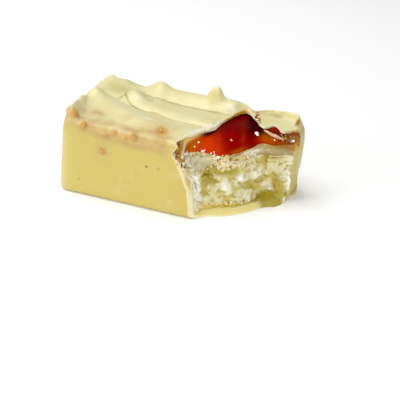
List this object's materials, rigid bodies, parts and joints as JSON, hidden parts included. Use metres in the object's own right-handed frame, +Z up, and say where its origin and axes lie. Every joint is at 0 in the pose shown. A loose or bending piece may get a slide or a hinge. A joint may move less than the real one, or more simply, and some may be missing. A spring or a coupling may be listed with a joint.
{
  "type": "mini cake",
  "caption": "Small bar cake in a pale coating with ridged top, bitten at a corner to show jam, cream and sponge layers.",
  "frame": {"origin": "middle of the whole bar on the plane it rests on", "axes": "+X along the bar to the bitten end, +Z up, the bite opens towards +X and -Y"},
  "size_m": [0.0776, 0.036, 0.0357],
  "materials": {
    "coating": "satin",
    "sponge": "matt, open crumb",
    "cream": "soft",
    "jam": "wet gloss"
  },
  "bodies": {
    "root": {"coating": "coating", "sponge": "sponge", "cream": "cream", "jam": "jam"}
  },
  "joints": []
}
